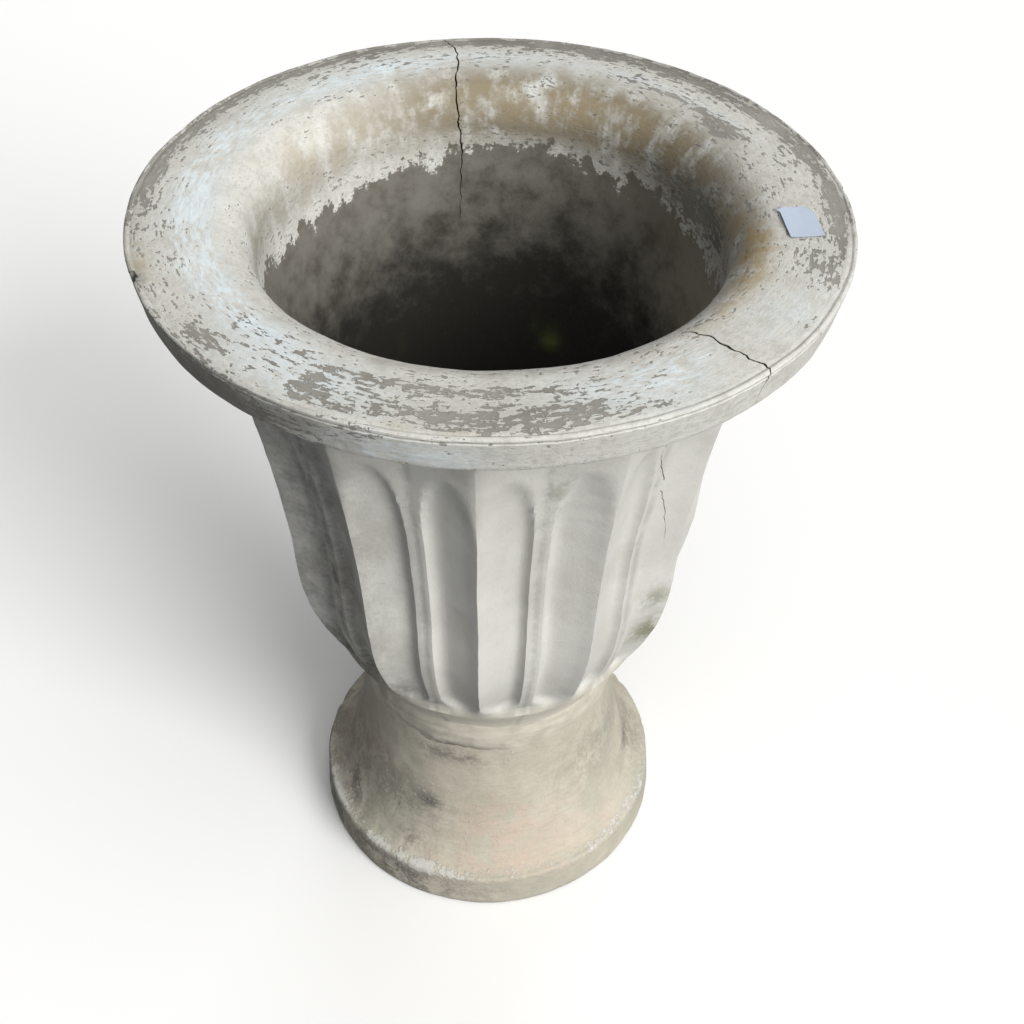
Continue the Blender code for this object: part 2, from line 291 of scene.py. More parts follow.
def make_material(name, roughness, colours, grains=(), strokes=(), marks=(), masks=(), coats=(), bumps=(),
                  ior=1.5, specular=0.5):
    """A material laid on in coats.

    grains: name, size of the lumps in metres, detail, roughness
    strokes: name, length round the axis and width across it in metres, detail
    marks: numbers stored on the points
    masks: name, what is weighed up with its weights, the levels where it starts and is full, and its strength
    coats: name of the result, the colour under where it isn't that coat so far, the colour over, the mask
    bumps: a mask or pattern and what it is worth in metres
    """
    material = bpy.data.materials.new(name)
    material.use_nodes = True
    tree = material.node_tree
    tree.nodes.clear()
    spot = add(tree, "ShaderNodeTexCoord", out="Object")
    known = {"all": 1.0}
    for grain, size, detail, rough in grains:
        known[grain] = add(tree, "ShaderNodeTexNoise", {"Vector": spot, "Scale": 1 / size, "Detail": detail,
                                                        "Roughness": rough})
    for stroke, length, width, detail in strokes:
        known[stroke] = dragged(tree, spot, length, width, detail)
    for mark in marks:
        known[mark] = add(tree, "ShaderNodeAttribute", attribute_name=mark, out="Fac")
    for mask, parts, low, high, strength in masks:
        total = 0.0
        for part, weight in parts.items():
            total = add(tree, "ShaderNodeMath", {0: known[part], 1: weight, 2: total},
                        operation="MULTIPLY_ADD")
        levels = {0: total, 1: low, 2: high, 4: known.get(strength, strength)}
        known[mask] = add(tree, "ShaderNodeMapRange", levels, interpolation_type="SMOOTHSTEP")
    paints = {paint: (*getattr(colours, paint), 1.0) for paint in colours.__annotations__}
    for coat, *under, over, mask in coats:
        one, two = (paints[key] if key in paints else (*linear(key), 1.0)
                    for key in (under[0] if under else coat, over))
        paints[coat] = add(tree, "ShaderNodeMix", {0: known[mask], 6: one, 7: two}, out=2, data_type="RGBA")
    shader_inputs = {"Base Color": paints[coats[-1][0]], "Roughness": roughness, "IOR": ior,
                     "Specular IOR Level": specular}
    for pattern, height in bumps:
        inputs = {"Height": known[pattern], "Distance": height, "Strength": 1.0}
        if "Normal" in shader_inputs:
            inputs["Normal"] = shader_inputs["Normal"]
        shader_inputs["Normal"] = add(tree, "ShaderNodeBump", inputs)
    add(tree, "ShaderNodeOutputMaterial", {"Surface": add(tree, "ShaderNodeBsdfPrincipled", shader_inputs)})
    return material


SAND = ("sand", 0.0012, 3.0, 0.60)                # sand grains about 1 mm across


def limewashed_stone(colours):
    """Cast stone under old limewash, brushed on by hand round the rim: chalky and matt, flaked in ragged
    islands down to mid-grey stone, stained where water ran, and bare and earthy inside."""
    return make_material(
        "limewashed_cast_stone", 0.88, colours,
        grains=(("blotch", 0.026, 8.0, 0.66),     # islands 15 to 40 mm across
                ("cloud", 0.075, 4.0, 0.55), ("speck", 0.0050, 5.0, 0.70), SAND),
        strokes=(("strokes", 0.012, 0.0030, 4.0),     # brush strokes 12 mm long and 3 mm wide
                 ("runs", 0.020, 0.045, 3.0)),        # runs of water 20 mm wide
        marks=("leaf", "collar", "inside", "rim", "bare", "thick", "ochre", "dust_and_shade", "grime_and_shade", "algae", "moss",
               "tide", "soil", "pale"),
        masks=(("cover", {"blotch": 0.26, "strokes": 0.44, "speck": 0.30, "bare": -0.34}, 0.320, 0.338, 1.0),
               ("thin", {"strokes": 0.5, "speck": 0.5}, 0.48, 0.60, 0.65),
               ("laid thick", {"cloud": 0.35, "strokes": 0.65}, 0.40, 0.56, "thick"),
               ("stained", {"blotch": 0.6, "runs": 0.4}, 0.36, 0.62, "ochre"),
               # Painted shade round the back of the mouth, with a brownish tint.
               ("dusty_and_shaded", {"runs": 0.4, "blotch": 0.6}, 0.34, 0.54, "dust_and_shade"),
               ("stone shade", {"cloud": 1.0}, 0.42, 0.66, 0.8),
               ("stone light", {"speck": 0.5, "strokes": 0.5}, 0.50, 0.62, 0.8),
               ("wash blotches", {"blotch": 1.0}, 0.50, 0.68, 0.6),
               ("leaf cloud", {"cloud": 1.0}, 0.45, 0.62, 0.6),
               ("leaf specks", {"speck": 1.0}, 0.60, 0.74, 0.5),
               # Soot and mildew, and painted shade where the mark is darker in the folds, under the rim and
               # on the left.
               ("soot_and_shade", {"blotch": 0.45, "cloud": 0.25, "speck": 0.30}, 0.30, 0.66, "grime_and_shade"),
               ("green", {"blotch": 0.6, "speck": 0.4}, 0.42, 0.56, "algae"),
               ("below", {"tide": 1.0, "runs": 0.045, "blotch": 0.085, "speck": 0.030, "all": -0.080},
                -0.0010, 0.0010, "inside"),
               # The soil line, shifted as painted shade at the back and painted light on the right.
               ("deep", {"soil": 1.0, "blotch": 0.22, "all": -0.11}, 0.010, 0.165, 1.0),
               ("wall light", {"speck": 0.6, "blotch": 0.4}, 0.49, 0.63, 0.45),
               ("wall dark", {"speck": 0.4, "blotch": 0.6}, 0.47, 0.60, 0.42),
               ("dregs", {"speck": 1.0}, 0.56, 0.68, 0.30),
               ("dark sand", {"sand": 1.0}, 0.66, 0.74, 0.40),
               ("edge of cover", {"cover": 1.0}, 0.0, 1.0, "rim"),
               ("rim strokes", {"strokes": 1.0}, 0.0, 1.0, "rim")),
        coats=(("stone", "7d7a73", "stone shade"),
               ("stone", "b3b2ad", "stone light"),
               ("wash", "aba89e", "thin"),
               ("wash", "b5b2a9", "wash blotches"),
               ("wash", "fresh_wash", "laid thick"),
               ("wash", "dust_and_shade", "dusty_and_shaded"),
               ("wash", "ochre", "stained"),
               ("outside", "stone", "wash", "cover"),
               ("body", "c0beb6", "leaf cloud"),
               ("body", "b6b4ab", "leaf specks"),
               ("body", "cac6b8", "collar"),
               ("outside", "body", "leaf"),
               # Soot, mildew and painted shade.
               ("outside", "grime_and_shade", "soot_and_shade"),
               ("outside", "algae", "green"),
               ("wall", "918d84", "wall light"),
               ("wall", "544c3f", "wall dark"),
               # Painted light: the right of the inner wall, out of the lamps' reach, is made paler.
               ("wall", "b0a997", "pale"),
               ("wall", "earth", "deep"),
               ("wall", "3b3b28", "dregs"),
               ("wall", "5a6430", "moss"),
               ("surface", "outside", "wall", "below"),
               ("surface", "5d5a52", "dark sand")),
        bumps=(("cloud", 0.0010), ("edge of cover", 0.0004), ("rim strokes", 0.0004), ("speck", 0.0004),
               ("sand", 0.00025)))


def broken_stone(colours):
    """The grey inside of the casting, sandy and a little dirty, in the cracks and chips."""
    return make_material(
        "broken_cast_stone", 0.93, colours,
        grains=(("crumbs", 0.003, 5.0, 0.6),),
        masks=(("dirty", {"crumbs": 1.0}, 0.4, 0.6, 1.0),),
        coats=(("surface", "6e6b64", "494640", "dirty"),),
        bumps=(("crumbs", 0.001),))


def weathered_foot(colours):
    """Cast stone with thin beige and pink washes rubbed through, grey-green mildew on the sheltered side,
    and a chalky white crust on the arris of the band."""
    return make_material(
        "weathered_cast_stone", 0.90, colours,
        grains=(("cloud", 0.070, 4.0, 0.55), ("blotch", 0.022, 7.0, 0.62), ("speck", 0.004, 4.0, 0.65), SAND),
        strokes=(("rings", 0.060, 0.0030, 4.0),),     # trowel lines 3 mm apart round the neck
        marks=("crust", "pink", "grime_and_shade"),
        masks=(("clouded", {"cloud": 1.0}, 0.44, 0.62, 1.0),
               ("pinkish", {"blotch": 1.0}, 0.36, 0.60, "pink"),
               ("ringed", {"rings": 1.0}, 0.50, 0.66, 0.35),
               # Soot and mildew, and the painted shade in the hollow of the neck.
               ("soot_and_shade", {"blotch": 0.6, "speck": 0.4}, 0.40, 0.58, "grime_and_shade"),
               ("crusted", {"blotch": 0.5, "speck": 0.5, "crust": 0.20}, 0.57, 0.68, 0.85),
               ("dark sand", {"sand": 1.0}, 0.66, 0.74, 0.5)),
        coats=(("foot", "aeab9c", "clouded"),
               ("foot", "pink", "pinkish"),
               ("foot", "a3a091", "ringed"),
               ("foot", "grime_and_shade", "soot_and_shade"),
               ("foot", "c3c3bc", "crusted"),
               ("foot", "6a675c", "dark sand")),
        bumps=(("blotch", 0.0012), ("rings", 0.0004), ("crusted", 0.0005), ("sand", 0.00025)))


def lime_mortar(colours):
    """Lime mortar pressed and wiped by hand: sandy, matt, with the drag lines of a wet cloth."""
    return make_material(
        "lime_mortar", 0.94, colours,
        grains=(("lumps", 0.030, 5.0, 0.6), SAND),
        strokes=(("wiped", 0.050, 0.0020, 4.0),),     # cloth lines 2 mm apart
        marks=("grime_and_shade",),
        masks=(("lumpy", {"lumps": 1.0}, 0.45, 0.65, 0.7),
               ("smeared", {"wiped": 1.0}, 0.50, 0.68, 0.6),
               # Soot and mildew, and the painted shade in the hollow of the neck.
               ("soot_and_shade", {"lumps": 1.0}, 0.40, 0.58, "grime_and_shade")),
        coats=(("mortar", "b4afa0", "lumpy"),
               ("mortar", "c9c5b8", "smeared"),
               ("mortar", "grime_and_shade", "soot_and_shade")),
        bumps=(("lumps", 0.0010), ("wiped", 0.0005), ("sand", 0.0003)))


def uncoated_paper(colours):
    """Cheap uncoated label paper, slightly blue from its brightener, with soft felt-side fibre."""
    return make_material(
        "uncoated_paper", 0.70, colours,
        grains=(("fibre", 0.0009, 4.0, 0.6),),        # drawn coarser than real fibre, so that it shows
        masks=(("flecked", {"fibre": 1.0}, 0.5, 0.75, 1.0),),
        coats=(("paper", "b3bccb", "flecked"),),
        bumps=(("fibre", 0.0001),), ior=1.45)


def studio_floor(colours):
    """Seamless matt paper, pale and even."""
    return make_material("studio_floor_paper", 0.95, colours, coats=(("floor", "floor", "all"),),
                         specular=0.1)


# ---------------------------------------------------------------- the bowl
def ridge_line():
    """The leaves' ridges, from the end of the fluting up to the underside of the rim."""
    top, bulge, low = RIDGE_TOP, RIDGE_BELLY, RIDGE_FOOT
    rise = UNDERSIDE - BELLY
    lower = bezier((low, FLUTING_BASE), (low + 0.45 * (bulge - low), FLUTING_BASE + 0.22 * BELLY_HEIGHT),
                   (bulge - 0.09 * (bulge - low), BELLY - 0.45 * BELLY_HEIGHT), (bulge, BELLY), 24)
    upper = bezier((bulge, BELLY), (bulge + 0.04 * (top - bulge), BELLY + 0.30 * rise),
                   (top - 0.41 * (top - bulge), BELLY + 0.69 * rise), (top, UNDERSIDE), 48)
    return np.vstack((lower[:-1], upper))


def rim_outline():
    """From the fascia's foot up over its bead, across the flat and down the roll to the mouth."""
    fascia_top = TOP - 0.0064
    foot = [(RIM - SOFFIT_END, UNDERSIDE), (RIM - 0.0060, UNDERSIDE + 0.0005),
            (RIM - 0.0051, UNDERSIDE + 0.0020)]
    fascia = between((RIM - 0.0048, UNDERSIDE + 0.0045), (RIM - 0.0007, fascia_top), 8)
    bead = [(RIM - 0.0007, fascia_top), (RIM - 0.0013, TOP - 0.0056), (RIM - 0.0012, TOP - 0.0048),
            (RIM - 0.0004, TOP - 0.0040), (RIM, TOP - 0.0030), (RIM - 0.0003, TOP - 0.0020),
            (RIM - 0.0012, TOP - 0.0012), (RIM - 0.0024, TOP - 0.0008), (RIM - 0.0036, TOP - 0.0012),
            (RIM - 0.0044, TOP - 0.0017), (RIM - 0.0054, TOP - 0.0016), (RIM - 0.0066, TOP - 0.0011)]
    steps = np.linspace(0.0, 1.0, 24)[1:]
    radius = (RIM - 0.0066) + (ROLL_RADIUS - RIM + 0.0066) * steps
    crown = TOP - 0.0011 * (2 * steps - 1.1) ** 2
    turn = np.linspace(pi / 2, pi, 17)[1:]
    roll = np.column_stack((ROLL_RADIUS + (ROLL_RADIUS - THROAT) * np.cos(turn),
                            TOP - ROLL_DEPTH + (ROLL_DEPTH - 0.0009) * np.sin(turn)))
    return np.vstack((foot, fascia, bead, np.column_stack((radius, crown)), roll))


def inner_outline():
    """From the mouth down the wall and across the dished floor to the drain hole."""
    line = ridge_line()
    low = BOWL_FLOOR + BELLY_HEIGHT
    belly_wall = np.interp(BELLY, line[:, 1], line[:, 0]) - WALL
    low_wall = np.interp(low, line[:, 1], line[:, 0]) - WALL
    wall = bezier((THROAT, TOP - ROLL_DEPTH), (THROAT, TOP - 3 * ROLL_DEPTH),
                  (belly_wall, BELLY + BELLY_HEIGHT), (low_wall, low), 26)
    dish = bezier(wall[-1], (low_wall, low - 0.6 * BELLY_HEIGHT), (0.6 * low_wall, BOWL_FLOOR),
                  (DRAIN_RADIUS, BOWL_FLOOR), 10)
    return np.vstack((wall[1:], dish[1:]))


def bowl_blank(leaves, leaf_turn, flute_share, flute_gap):
    """The turned blank, before it is fluted, with a mark on the rows that the flutes are cut into."""
    half_leaf = pi / leaves
    spacing = (1 - np.cos(np.linspace(0, pi, COLUMNS_IN_FLUTE + 1))) / 2 * flute_share
    rib = flute_share + (1 - flute_share) * np.linspace(0, 1, COLUMNS_IN_RIB + 1)[1:]
    across = np.concatenate((spacing, rib))
    flat_pair = np.concatenate((across[:-1], 2 - across[:0:-1])) * half_leaf
    azimuths = np.concatenate([leaf_turn + 2 * half_leaf * leaf + flat_pair for leaf in range(leaves)])
    spigot = [(DRAIN_RADIUS, BOWL_LOW.z), (SPIGOT_RADIUS - 0.0005, BOWL_LOW.z),
              (SPIGOT_RADIUS, BOWL_LOW.z + 0.0005), (SPIGOT_RADIUS, SEAT)]
    collar = bezier((NECK, SEAT), (NECK, SEAT + 0.3 * (FLUTING_BASE - SEAT)),
                    (0.144, SEAT + 0.6 * (FLUTING_BASE - SEAT)), (RIDGE_FOOT, FLUTING_BASE), 9)[:-1]
    flute_top = UNDERSIDE - flute_gap
    # the rows of points lie close together where the flutes end
    levels = (FLUTING_BASE, FLUTING_BASE + 0.020, flute_top - 0.074, flute_top + 0.002, UNDERSIDE)
    heights = np.concatenate([between((low,), (high,), rows)[:, 0]
                              for low, high, rows in zip(levels, levels[1:], (10, 53, 44, 13))])
    body = resample(ridge_line(), np.append(heights, UNDERSIDE))
    soffit = between((RIDGE_TOP + 0.004, UNDERSIDE), (RIM - SOFFIT_END, UNDERSIDE), 4)
    runs = (np.array(spigot), collar, body, soffit, rim_outline(), inner_outline())
    mesh = spin("urn_bowl", np.vstack(runs), azimuths)
    fluted = np.concatenate([np.full(len(run), 1.0 if run is body else 0.0) for run in runs])
    give_attribute(mesh, "fluted", np.repeat(fluted, len(azimuths)))
    return mesh


FLUTING_STEPS = (
    # name, operation, operands: each a named input, an earlier step or a number
    ("behind", "MULTIPLY", "y", -1.0),
    ("azimuth", "ARCTAN2", "x", "behind"),
    ("half leaf", "DIVIDE", pi, "Leaves"),
    ("past ridge", "SUBTRACT", "azimuth", "Leaf turn"),
    ("half leaves", "DIVIDE", "past ridge", "half leaf"),
    ("across", "PINGPONG", "half leaves", 1.0),
    ("angle", "MULTIPLY", "across", "half leaf"),
    # the folds are shallower towards the fluting's lower end
    ("risen", "SUBTRACT", "z", "Fluting base"),
    ("rise", "DIVIDE", "risen", "Belly height"),
    ("rise below one", "MINIMUM", "rise", 1.0),
    ("fold share", "MULTIPLY_ADD", "rise below one", 0.55, 0.45),
    ("fold back", "MULTIPLY", "fold share", "Fold depth"),
    ("fold", "SUBTRACT", "ridge", "fold back"),
    # a straight flat from the ridge to the fold, as a radius at this angle
    ("ridge by fold", "MULTIPLY", "ridge", "fold"),
    ("sine of half leaf", "SINE", "half leaf"),
    ("upper part", "MULTIPLY", "ridge by fold", "sine of half leaf"),
    ("angle left", "SUBTRACT", "half leaf", "angle"),
    ("sine of angle left", "SINE", "angle left"),
    ("fold part", "MULTIPLY", "fold", "sine of angle left"),
    ("sine of angle", "SINE", "angle"),
    ("lower part", "MULTIPLY_ADD", "ridge", "sine of angle", "fold part"),
    ("flat", "DIVIDE", "upper part", "lower part"),
    # the flute: round in section, with an arched upper and a round lower end
    ("half share", "MULTIPLY", "Flute share", 0.5),
    ("off middle", "SUBTRACT", "across", "half share"),
    ("sideways", "DIVIDE", "off middle", "half share"),
    ("sideways squared", "MULTIPLY", "sideways", "sideways"),
    ("top arch foot", "SUBTRACT", "Flute top", "Top arch"),
    ("over foot", "SUBTRACT", "z", "top arch foot"),
    ("over foot part", "DIVIDE", "over foot", "Top arch"),
    ("above", "MAXIMUM", "over foot part", 0.0),
    ("above curved", "POWER", "above", 2.1),
    ("bottom arch top", "ADD", "Fluting base", "Bottom arch"),
    ("under top", "SUBTRACT", "bottom arch top", "z"),
    ("under top part", "DIVIDE", "under top", "Bottom arch"),
    ("below", "MAXIMUM", "under top part", 0.0),
    ("below squared", "MULTIPLY", "below", "below"),
    ("both ends", "ADD", "above curved", "below squared"),
    ("from middle", "ADD", "both ends", "sideways squared"),
    ("section", "SUBTRACT", 1.0, "from middle"),
    # the edge of the flute is eased, and the ridges are worn
    ("section squared", "MULTIPLY_ADD", "section", "section", 0.0012),
    ("section size", "SQRT", "section squared"),
    ("twice eased", "ADD", "section", "section size"),
    ("eased", "MULTIPLY", "twice eased", 0.5),
    ("flattening", "SUBTRACT", 2.0, "eased"),
    ("rounded", "MULTIPLY", "eased", "flattening"),
    # deeper beside the fold than beside the ridge
    ("lean", "MULTIPLY_ADD", "sideways", 0.33, 0.67),
    ("leaning", "MULTIPLY", "rounded", "lean"),
    ("scooped", "MULTIPLY", "leaning", "Flute depth"),
    ("after scoop", "SUBTRACT", "flat", "scooped"),
    ("near ridge", "DIVIDE", "across", 0.035),
    ("near ridge squared", "MULTIPLY", "near ridge", "near ridge"),
    ("away", "MULTIPLY", "near ridge squared", -1.0),
    ("nose", "EXPONENT", "away"),
    ("worn off", "MULTIPLY", "nose", "Wear"),
    ("leaf", "SUBTRACT", "after scoop", "worn off"),
    ("stretch", "DIVIDE", "leaf", "ridge"),
    ("stretch less one", "SUBTRACT", "stretch", 1.0),
    ("radial", "MULTIPLY_ADD", "stretch less one", "fluted", 1.0),
)


def fluting_tree(sizes, stone):
    """Geometry Nodes that fold the blank into leaves and scoop two flutes out of each."""
    tree = bpy.data.node_groups.new("Fluting", "GeometryNodeTree")
    tree.interface.new_socket("Blank", in_out="INPUT", socket_type="NodeSocketGeometry")
    values = {"Leaves": sizes.leaves, "Leaf turn": sizes.leaf_turn, "Fluting base": FLUTING_BASE,
              "Belly height": BELLY_HEIGHT, "Fold depth": sizes.fold_depth, "Flute depth": sizes.flute_depth,
              "Flute share": sizes.flute_share, "Flute top": UNDERSIDE - sizes.flute_gap,
              "Top arch": sizes.top_arch, "Bottom arch": sizes.bottom_arch, "Wear": sizes.wear}
    sockets = {name: tree.interface.new_socket(name, in_out="INPUT", socket_type="NodeSocketFloat")
               for name in values}
    sockets["Stone"] = tree.interface.new_socket("Stone", in_out="INPUT", socket_type="NodeSocketMaterial")
    values["Stone"] = stone
    tree.interface.new_socket("Fluted", in_out="OUTPUT", socket_type="NodeSocketGeometry")

    given = add(tree, "NodeGroupInput").node.outputs
    position = add(tree, "GeometryNodeInputPosition")
    axes = add(tree, "ShaderNodeSeparateXYZ", {0: position}).node.outputs
    level = add(tree, "ShaderNodeVectorMath", {0: position, 1: (1.0, 1.0, 0.0)}, operation="MULTIPLY")
    known = {socket.name: socket for socket in given}
    known.update(x=axes[0], y=axes[1], z=axes[2],
                 ridge=add(tree, "ShaderNodeVectorMath", {0: level}, out=1, operation="LENGTH"),
                 fluted=add(tree, "GeometryNodeInputNamedAttribute", {0: "fluted"}, data_type="FLOAT"))
    for name, operation, *operands in FLUTING_STEPS:
        inputs = {i: known[o] if isinstance(o, str) else o for i, o in enumerate(operands)}
        known[name] = add(tree, "ShaderNodeMath", inputs, operation=operation)
    stretch = add(tree, "ShaderNodeCombineXYZ", {0: known["radial"], 1: known["radial"], 2: 1.0})
    moved = add(tree, "ShaderNodeVectorMath", {0: position, 1: stretch}, operation="MULTIPLY")
    fluted = add(tree, "GeometryNodeSetPosition", {"Geometry": given["Blank"], "Position": moved})
    real = add(tree, "GeometryNodeRealizeInstances", {0: fluted})
    coated = add(tree, "GeometryNodeSetMaterial", {"Geometry": real, "Material": given["Stone"]})
    add(tree, "NodeGroupOutput", {0: coated})
    return tree, {sockets[name].identifier: value for name, value in values.items()}


# The cracks in the rim: azimuth in degrees, place along the profile in millimetres from the fascia's foot.
BACK_CRACK = ((-169.4, 31), (-169.5, 36), (-170.6, 47), (-171.3, 67), (-170.8, 89), (-169.6, 106),
              (-169.2, 124), (-169.5, 148), (-170.3, 172), (-169.7, 202), (-169.2, 228), (-169.6, 255))
FRONT_CRACK = ((40.8, 105), (41.6, 98), (43.0, 86), (42.7, 74), (43.4, 61), (43.3, 51), (44.2, 41),
               (43.9, 36), (43.5, 31), (43.2, 24), (42.7, 14), (42.5, 6))
# The fine crack down the leaves: azimuth in degrees, height in metres.
BODY_CRACK = ((42.2, 0.672), (42.8, 0.655), (41.6, 0.640), (42.6, 0.622), (41.4, 0.604), (43.5, 0.585),
              (45.8, 0.564), (48.6, 0.543), (51.5, 0.520), (53.0, 0.500), (54.2, 0.482), (54.6, 0.462))


def inside_rim(radius, height):
    """A place within the rim for the thin edge of a crack to point at."""
    return min(max(radius, 0.225), 0.255), min(height, 0.700)


def inside_leaf(radius, height):
    """A place within the leaves' wall, likewise."""
    return radius - 0.03, height


def rim_crack_line(crack):
    """A rim crack's points as (azimuth, radius, height)."""
    outline = np.vstack((rim_outline(), inner_outline()))
    at = np.concatenate(([0], np.cumsum(np.hypot(*np.diff(outline, axis=0).T)))) * 1000
    return [(azimuth, np.interp(along, at, outline[:, 0]), np.interp(along, at, outline[:, 1]))
            for azimuth, along in crack]


def body_crack_line(crack, bowl):
    """The body crack's points as (azimuth, radius, height), close together so that it follows the flutes."""
    azimuth, height = np.array(crack).T
    lines = []
    for at in np.linspace(0, len(crack) - 1, 70):
        turn = radians(np.interp(at, range(len(crack)), azimuth))
        z = np.interp(at, range(len(crack)), height)
        outwards = Vector((sin(turn), -cos(turn), 0.0))
        hit, place_hit, _, _ = bowl.ray_cast(Vector((0, 0, z)) + 0.5 * outwards, -outwards)
        if not hit:
            raise RuntimeError("the body crack misses the bowl")
        lines.append((np.degrees(turn), place_hit.xy.length, z))
    return lines


def crack_blade(name, line, width, depth, roots, seed):
    """A thin jagged wedge along a line on the surface, its thin edge towards the roots inside the wall."""
    jag = 0.0008                       # how far the crack jumps aside
    line = np.array(line)
    length = np.concatenate(([0], np.cumsum(np.hypot(np.diff(line[:, 1]) + 1e-6, np.diff(line[:, 2])))))
    count = max(24, int(length[-1] / 0.0018))
    at = np.linspace(0.0, length[-1], count)
    azimuth, radius, height = (np.interp(at, length, line[:, k]) for k in range(3))
    mesh = bmesh.new()
    sections = []
    for k in range(count):
        wander = (noise.noise(Vector((at[k] / 0.009, seed, 0.0))) * jag * 2.4
                  + noise.noise(Vector((at[k] / 0.0026, seed, 5.0))) * jag)
        outer = Vector((radius[k], height[k]))
        inward = (Vector(roots(radius[k], height[k])) - outer).normalized()
        taper = min(1.0, (k + 0.4) / 5, (count - k - 0.6) / (0.45 * count)) ** 0.8
        half = 0.5 * width * taper * (0.80 + 0.7 * noise.noise(Vector((at[k] / 0.010, seed, 9.0))))
        section = []
        for reach, side in ((-0.0025, half * 1.3), (-0.0025, -half * 1.3), (0.0012, -half),
                            (0.002 + depth * taper, 0.0), (0.0012, half)):
            r, z = outer + inward * reach
            turn = radians(azimuth[k]) + (wander + side) / r
            section.append(mesh.verts.new((r * sin(turn), -r * cos(turn), z)))
        sections.append(section)
    for one, two in zip(sections, sections[1:]):
        for i in range(5):
            j = (i + 1) % 5
            mesh.faces.new((one[i], one[j], two[j], two[i]))
    mesh.faces.new(sections[0])
    mesh.faces.new(sections[-1])
    bmesh.ops.recalc_face_normals(mesh, faces=mesh.faces)
    data = bpy.data.meshes.new(name)
    mesh.to_mesh(data)
    mesh.free()
    return place(name, data)


def arris_chips():
    """Small rough lumps along the rim's outer arris, to be bitten out of it."""
    mesh = bmesh.new()
    # azimuth in degrees, length along the rim and size across it in metres
    spots = [(-67.0, 0.0080, 0.0060), (96.0, 0.0080, 0.0026), (131.0, 0.0070, 0.0026),
             (158.0, 0.0090, 0.0028), (-140.0, 0.0080, 0.0028), (-112.0, 0.0070, 0.0026)]
    for azimuth, length, size in spots:
        made = bmesh.ops.create_icosphere(mesh, subdivisions=3, radius=1.0)["verts"]
        turn = Matrix.Rotation(radians(azimuth), 3, "Z")
        centre = Vector((0.0, -(RIM - 0.0004 + 0.30 * size), TOP - 0.0024 + 0.25 * size))
        for vert in made:
            lump = 1.0 + 0.45 * noise.noise(vert.co * 1.7 + Vector((azimuth, 0, 0)))
            lump += 0.18 * noise.noise(vert.co * 4.5 + Vector((0, azimuth, 0)))
            shape = Vector((length * vert.co.x, size * vert.co.y, size * vert.co.z))
            vert.co = turn @ (centre + shape * lump)
    data = bpy.data.meshes.new("chips")
    mesh.to_mesh(data)
    mesh.free()
    return place("chips", data)


def profile_length(points):
    """How far along the rim and the inside each point lies, in millimetres from the fascia's foot."""
    outline = np.vstack((rim_outline(), inner_outline()))
    steps = np.hypot(*np.diff(outline, axis=0).T)
    at = np.concatenate(([0], np.cumsum(steps)))
    radius = np.hypot(points[:, 0], points[:, 1])
    nearest = np.full(len(points), np.inf)
    found = np.zeros(len(points))
    for k in range(len(steps)):
        start, run = outline[k], outline[k + 1] - outline[k]
        share = ((radius - start[0]) * run[0] + (points[:, 2] - start[1]) * run[1]) / (run @ run)
        share = np.clip(share, 0.0, 1.0)
        gap = np.hypot(radius - start[0] - share * run[0], points[:, 2] - start[1] - share * run[1])
        closer = gap < nearest
        nearest[closer] = gap[closer]
        found[closer] = (at[k] + share * steps[k])[closer]
    return found * 1000


# Soft spots: azimuth in degrees, place along the profile in millimetres from the fascia's foot, half width
# in degrees, half height in millimetres, strength.
BARE_SPOTS = (
    (-98, 42, 20, 9, 0.24), (-132, 42, 24, 10, 0.26), (-163, 43, 18, 11, 0.24), (172, 44, 18, 12, 0.24),
    (140, 46, 20, 14, 0.28), (112, 44, 16, 11, 0.28), (89, 44, 9, 11, 0.34), (73, 54, 7, 20, 0.20),
    (122, 90, 6, 9, 0.36), (136, 82, 13, 6, 0.26), (-130, 100, 14, 8, 0.10), (-47, 50, 5, 7, 0.24),
    (-24, 48, 6, 9, 0.20), (-10, 56, 12, 8, 0.19), (3, 46, 13, 10, 0.20), (8, 62, 12, 9, 0.17),
    (16, 54, 7, 9, 0.12), (-12, 78, 16, 6, 0.13), (4, 79, 15, 6, 0.15), (-38, 82, 20, 4, 0.15),
    (-30, 66, 16, 12, 0.09),
    (25, 46, 5, 5, 0.16), (56, 44, 2, 6, 0.26), (-45, 14, 24, 15, 0.30), (-75, 14, 30, 15, 0.30),
    (48, 64, 17, 26, -0.26), (-92, 92, 50, 18, -0.22), (-130, 130, 60, 24, -0.16), (-12, 12, 9, 11, -0.22),
    (45, 12, 40, 14, -0.26), (105, 165, 14, 22, 0.22), (122, 160, 12, 16, 0.20), (150, 120, 40, 22, -0.08),
    (45, 36, 60, 4, -0.2))
THICK_SPOTS = (
    (-100, 80, 50, 17, 1.0), (-60, 84, 26, 13, 0.95), (28, 72, 13, 24, 0.9), (-165, 80, 22, 16, 0.75),
    (-30, 60, 14, 18, 0.6), (-12, 12, 10, 12, 0.9), (142, 76, 26, 8, 0.4), (60, 60, 12, 20, 0.3))
OCHRE_SPOTS = (
    (67, 106, 14, 15, 1.0), (80, 112, 9, 12, 1.0), (95, 130, 10, 20, 0.5), (-130, 138, 24, 26, 0.32),
    (140, 128, 36, 20, 0.42), (172, 122, 26, 18, 0.35), (-72, 42, 6, 7, 0.5), (-4, 40, 11, 4, 0.45),
    (48, 96, 14, 7, 0.35))
